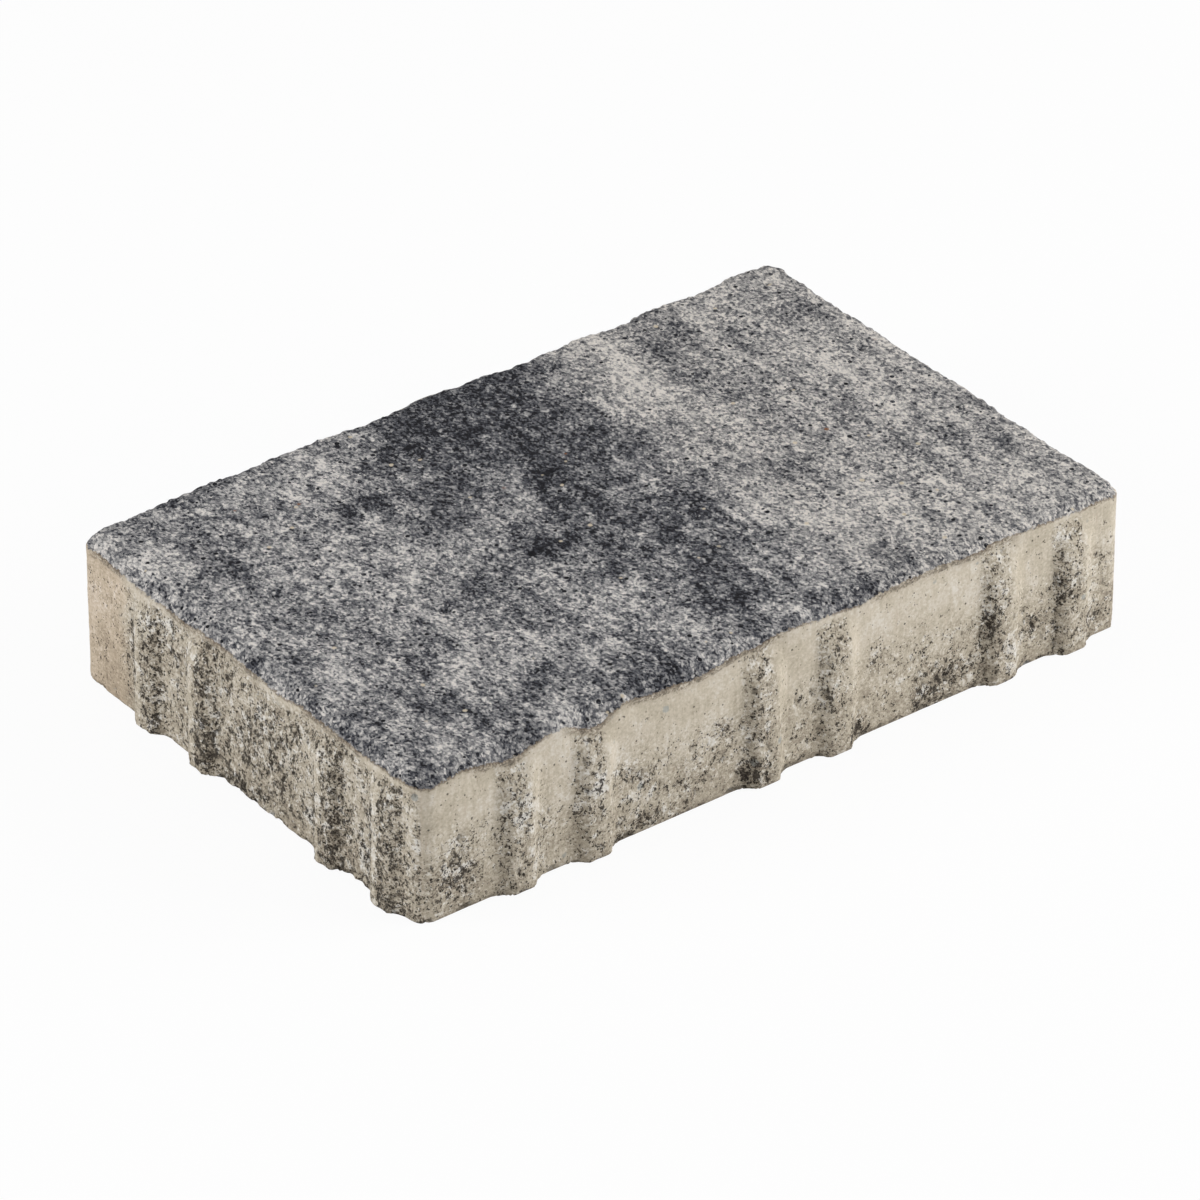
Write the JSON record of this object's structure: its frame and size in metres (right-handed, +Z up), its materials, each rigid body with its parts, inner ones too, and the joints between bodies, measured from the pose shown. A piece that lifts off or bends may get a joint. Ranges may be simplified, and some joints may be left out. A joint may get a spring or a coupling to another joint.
{
  "type": "concrete paving stone",
  "caption": "Rectangular concrete paving stone with a clouded grey face, a wavy natural arris and spacer nibs on its walls.",
  "frame": {"origin": "centre of the flat base, on the surface the stone lies on", "axes": "+X along the long side, +Y along the short side, +Z up through the walking face"},
  "size_m": [0.305, 0.199, 0.057],
  "materials": {
    "concrete": "cast concrete, clouded grey face and beige walls with open pores"
  },
  "bodies": {
    "root": {"paving_stone": "concrete"}
  },
  "joints": []
}
